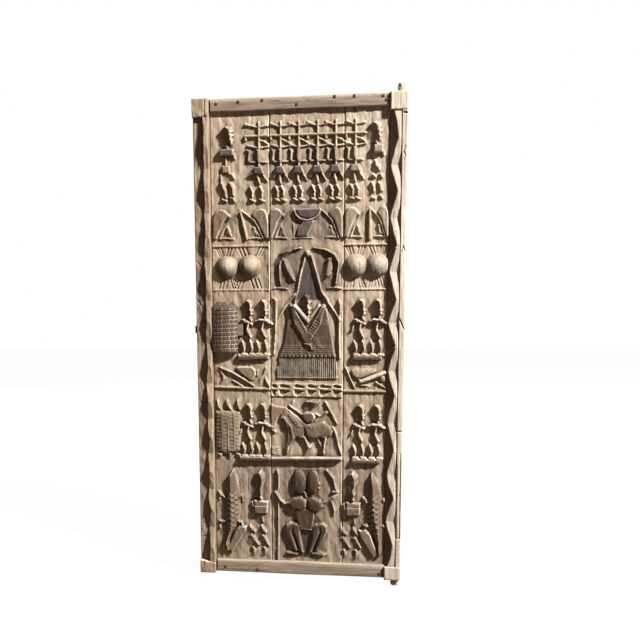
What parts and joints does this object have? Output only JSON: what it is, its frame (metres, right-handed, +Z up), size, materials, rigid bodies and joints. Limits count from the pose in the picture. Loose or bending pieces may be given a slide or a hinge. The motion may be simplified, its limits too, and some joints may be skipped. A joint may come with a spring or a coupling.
{
  "type": "carved granary door",
  "caption": "Narrow plank door of a mud granary: carved planks between zigzag stiles, battens, round pivots at one edge, and a wooden tumbler lock with a sliding bolt.",
  "frame": {"origin": "centre of the lower pivot's toe, on the line about which the door swings", "axes": "+Z up along the pivots, -Y out of the carved front, +Y out of the plain back, +X to the right as seen from the front; the leaf hangs to the left of the pivots"},
  "size_m": [0.706, 0.063, 1.671],
  "materials": {
    "stile_wood": "hand-hewn, dry and weathered",
    "plank_wood": "hand-hewn, dry and weathered",
    "rail_wood": "hand-hewn, dry and weathered",
    "lock_wood": "hand-hewn, dry and weathered",
    "pin_wood": "hand-hewn, dry and weathered",
    "iron": "forged, dark and rusty"
  },
  "bodies": {
    "leaf": {"left_stile": "stile_wood", "right_stile": "stile_wood", "left_plank": "plank_wood", "middle_plank": "plank_wood", "right_plank": "plank_wood", "top_rail": "rail_wood", "bottom_rail": "rail_wood", "top_rail_nails": "iron", "bottom_rail_nails": "iron", "left_stile_staples": "iron", "left_seam_staples": "iron", "right_seam_staples": "iron", "right_stile_staples": "iron", "lock_case": "lock_wood"},
    "bolt": {"bolt": "lock_wood"},
    "pin_1": {"tumbler_pin_1": "pin_wood"},
    "pin_2": {"tumbler_pin_2": "pin_wood"},
    "pin_3": {"tumbler_pin_3": "pin_wood"}
  },
  "joints": [
    {"name": "bolt_slide", "type": "slide", "parent": "leaf", "child": "bolt", "axis": [1, 0, 0], "range_m": [-0.012, 0.006]},
    {"name": "pin_1_lift", "type": "slide", "parent": "leaf", "child": "pin_1", "axis": [0, 0, 1], "range_m": [0, 0.012]},
    {"name": "pin_2_lift", "type": "slide", "parent": "leaf", "child": "pin_2", "axis": [0, 0, 1], "range_m": [0, 0.012]},
    {"name": "pin_3_lift", "type": "slide", "parent": "leaf", "child": "pin_3", "axis": [0, 0, 1], "range_m": [0, 0.012]}
  ],
  "couplings": [
    {"joint": "pin_2_lift", "follows": "pin_1_lift", "ratio": 1},
    {"joint": "pin_3_lift", "follows": "pin_1_lift", "ratio": 1}
  ]
}
